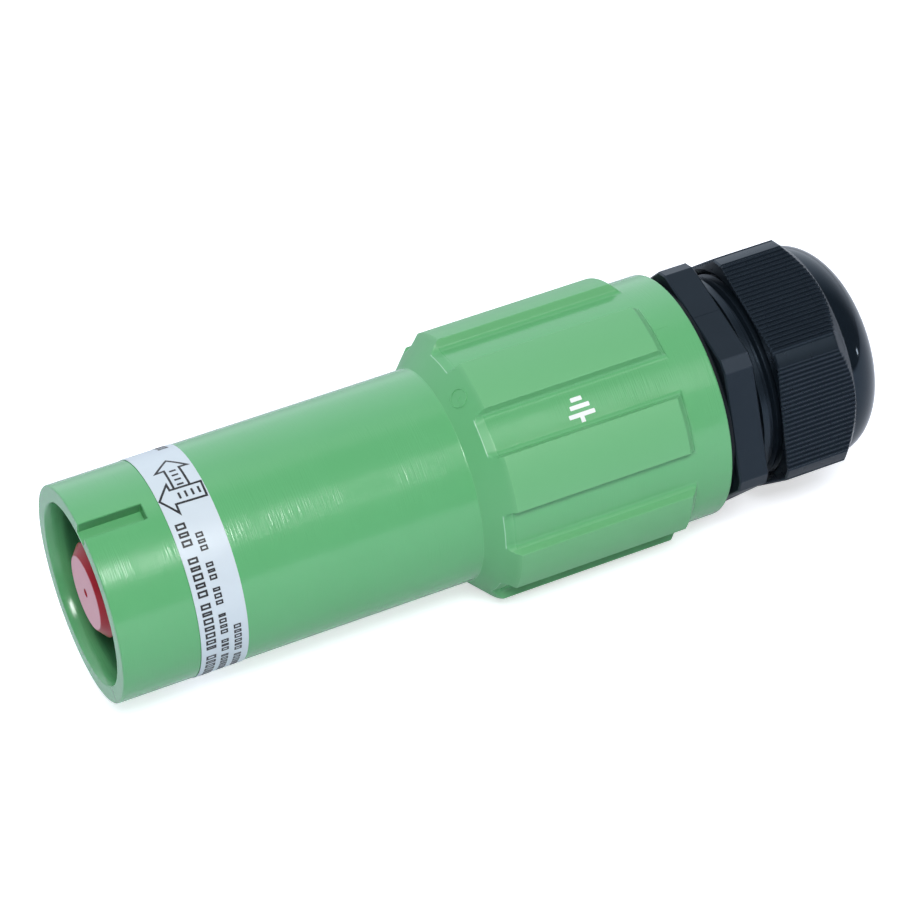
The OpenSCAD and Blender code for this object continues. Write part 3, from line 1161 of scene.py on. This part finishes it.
nut = {
    "flat": 26.5,
    "corner": 29.35,
    "turn": 54.6,
    "start": 159.8,
    "section": 167.0,
    "grooves": 24,
    "pitch": 1.135,
    "groove": [(-0.42, 0), (-0.16, -0.36), (0.16, -0.36), (0.42, 0)],  # across and up
    "frontBevel": 0.35,
    "frontStep": 0.8,
    "shoulder": 0.6,  # how far the flats' end stands over the dome
    "chamferRound": 0.4,
    "rings": (29.3, 28.9, 28.5, 28.1, 27.7, 27.3, 26.9, 26.7, 26.5, 26.35, 26.18, 26.05),
    "domeStart": 178.7,
    "domeRadius": 25.3,
    "domeStep": (0.02, 0.25),
    "tipRadius": 10.5,
    "domeLength": 10.85,
    "domeSteps": 18,
    "lipRound": 0.9,
    "lipShares": (0.7, 0.6),
    "hole": 14.5,
    "bore": 24.35,
    "boreStart": 1.2,
    "boreEnd": 172.0,
    "cone": 19.25,
    "coneEnd": 181.0,
    "holeStart": 185.3,
}


def nutHalfSection():
    # from the middle of a flat, over half of its grooves, to the middle of a rounded corner,
    # where the last grooves run out
    flat, corner = nut["flat"], nut["corner"]
    points = [(flat, 0)]
    for i in range(nut["grooves"] // 2):
        middle = (i + 0.5) * nut["pitch"]
        points += [polar(middle + across, flat + up) for across, up in nut["groove"]]
    points = [(min(r, corner), t) for r, t in points]
    lastTurn = points[-1][1]
    cornerSteps = 4
    for k in range(1, cornerSteps + 1):
        points.append((corner, lastTurn + (hexHalf - lastTurn) * k / cornerSteps))
    return points


def makeNut():
    turn, frontRim = nut["turn"] + hexHalf, (nut["start"], nut["flat"] - nut["frontStep"])
    tube = ringSection("cable_nut", nut["section"], nutHalfSection(), hexSides, turn)
    # back over the chamfer and the dome, in at the cable hole and forward to the mouth
    corner, domeStart, lipRound = nut["corner"], nut["domeStart"], nut["lipRound"]
    shoulder = nut["domeRadius"] + nut["shoulder"]
    chamferStart = domeStart + shoulder - corner
    chamfer = [(nut["section"], corner), (chamferStart, corner, nut["chamferRound"]), (domeStart, shoulder)]
    back = rounded(chamfer, closed=False)[1:-1]
    back += [(domeStart + shoulder - radius, radius) for radius in nut["rings"]]
    onward, rise = nut["domeStep"]
    back += [(domeStart, shoulder), (domeStart + onward, nut["domeRadius"] + rise)]
    reach = nut["domeRadius"] - nut["tipRadius"]
    stop = math.degrees(math.acos((nut["hole"] + lipRound - nut["tipRadius"]) / reach))
    for k in range(nut["domeSteps"] + 1):
        angle = math.radians(stop * k / nut["domeSteps"])
        station = domeStart + nut["domeLength"] * math.sin(angle)
        back.append((station, nut["tipRadius"] + reach * math.cos(angle)))
    above, edge = nut["lipShares"]
    inside = [
        back[-1],
        (noseEnd, nut["hole"] + lipRound * above),
        (noseEnd, nut["hole"], lipRound * edge),
        (nut["holeStart"], nut["hole"]),
        (nut["coneEnd"], nut["cone"]),
        (nut["boreEnd"], nut["bore"]),
        (nut["start"] + nut["boreStart"], nut["bore"]),
        frontRim,
    ]
    tube.follow(back + rounded(inside, closed=False)[1:])
    # forward to the front face
    tube.restart()
    tube.bevel(nut["start"], nut["frontBevel"], nut["flat"])
    tube.follow([frontRim])
    settle(finishMesh(), blackNut, ["cap_nut"], smooth=26)


makeNut()
say("cap nut made")

# the solids that stay as they are get their finish
for paint, nodes in [
    (silver, ["contact_pin", "cable_socket"]),
    (steel, ["cable_screws", "front_washer", "retaining_ring", "thrust_washer"]),
    (ivory, ["insulator_bush", "rear_liner"]),
    (rubber, ["contact_o_ring", "front_seal", "cable_seal"]),
    (blackBody, ["clamp_cage"]),
]:
    for node in nodes:
        dress(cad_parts[node], paint)

camera = {
    "place": (-0.257083, -0.639024, 0.502057),
    "turn": (55.6953, 5.0424, -24.9443),
    "lens": 148.4536,
    "sensor": 36,
}
# each lamp faces a station of the axis from one side, so many metres away
lamps = {
    "key": {"at": 95, "side": (-0.17, -0.67, 0.72), "away": 1.3, "size": (0.62, 0.30), "power": 23.5},
    "strip": {"at": 8, "side": (0.216, -0.682, 0.700), "away": 1.1, "size": (0.035, 0.55), "power": 7.2},
    "rearStrip": {"at": 122, "side": (0.348, -0.645, 0.680), "away": 1.1, "size": (0.12, 0.50), "power": 2.4},
    "noseSpot": {"at": 181, "side": (0.872, -0.484, 0.074), "away": 1.0, "size": (0.08, 0.08), "power": 10.0},
    "top": {"at": 60, "side": (-0.15, 0.15, 0.97), "away": 1.3, "size": (1.2, 1.0), "power": 0.5},
}
sky = {
    "colour": (0.87, 0.945, 1.04, 1),
    "away": (0, 1, 0),  # about the way that the camera looks
    "from": -0.15,
    "to": 0.90,
    "dark": 0.10,
    "bright": 1.25,
    "camera": 1.15,
}
floorFinish = {
    "size": 6,
    "gap": 0.05,  # millimetres below the lowest solid
    "roughness": 0.9,
    "shine": 0.1,
    "colour": (0.76, 0.79, 0.86, 1),
    "front": (0.20, 0.21, 0.23, 1),  # nearer to the camera than the fade
    "fade": (-1.2, -0.25),
    "camera": 0.62,
    "behind": (0.20, 1.20),
    "glossy": 0.40,
}


def addLamp(name, settings):
    middle = onAxis(settings["at"])
    place = middle + Vector(settings["side"]).normalized() * settings["away"]
    bpy.ops.object.light_add(type="AREA", location=place)
    lamp = bpy.context.object
    lamp.name = name
    lamp.data.shape = "RECTANGLE"
    lamp.data.size, lamp.data.size_y = settings["size"]
    # its power is given for each square metre of its face, divided by pi
    lamp.data.energy = settings["power"] * math.pi * lamp.data.size * lamp.data.size_y
    lamp.rotation_euler = (lamp.location - middle).to_track_quat("Z", "Y").to_euler()


def addCamera():
    turn = [math.radians(a) for a in camera["turn"]]
    bpy.ops.object.camera_add(location=camera["place"], rotation=turn)
    made = bpy.context.object
    made.data.lens = camera["lens"]
    made.data.sensor_width = camera["sensor"]
    made.data.sensor_fit = "HORIZONTAL"
    made.data.clip_start = 0.01
    bpy.context.scene.camera = made


def whiteWorld():
    # a white tent that is open towards the camera, and plain white to the camera itself
    world = bpy.data.worlds.new("studio")
    world.use_nodes = True
    nodes = Nodes(world.node_tree)
    direction = nodes.node("ShaderNodeTexCoord", {}, {}, "Generated")
    tent = nodes.band(nodes.dot(direction, sky["away"]), sky["from"], sky["to"]) * sky["bright"] + sky["dark"]
    seen = nodes.ray("Camera")
    strength = tent * (1 - seen) + seen * sky["camera"]
    background = world.node_tree.nodes["Background"]
    background.inputs["Color"].default_value = sky["colour"]
    world.node_tree.links.new(strength.socket, background.inputs["Strength"])
    bpy.context.scene.world = world


def addFloor():
    # the camera sees it lit enough to be white, and reflections see its far side
    look = floorFinish
    bpy.ops.mesh.primitive_plane_add(size=look["size"], location=(0, 0, cadBox[0].z - look["gap"] * mm))
    floor = bpy.context.object
    floor.name = "floor"
    shine = {"Roughness": look["roughness"], "Specular IOR Level": look["shine"], "Emission Strength": 1.0}
    paint = Paint("floorWhite", shine)
    away = paint.dot(paint.node("ShaderNodeTexCoord", {}, {}, "Object"), sky["away"])
    lit = paint.band(away, *look["fade"])
    behind = paint.band(away, *look["behind"])
    paint.feed("Base Color", paint.mix(lit, look["front"], look["colour"]))
    shown = paint.ray("Camera") * (1 - lit * (1 - look["camera"]))
    paint.feed("Emission Color", shown + paint.ray("Glossy") * behind * look["glossy"])
    dress(floor, paint.material)


bpy.context.scene.view_settings.view_transform = "Standard"
addCamera()
for name, settings in lamps.items():
    addLamp(name, settings)
whiteWorld()
addFloor()
say("studio set")
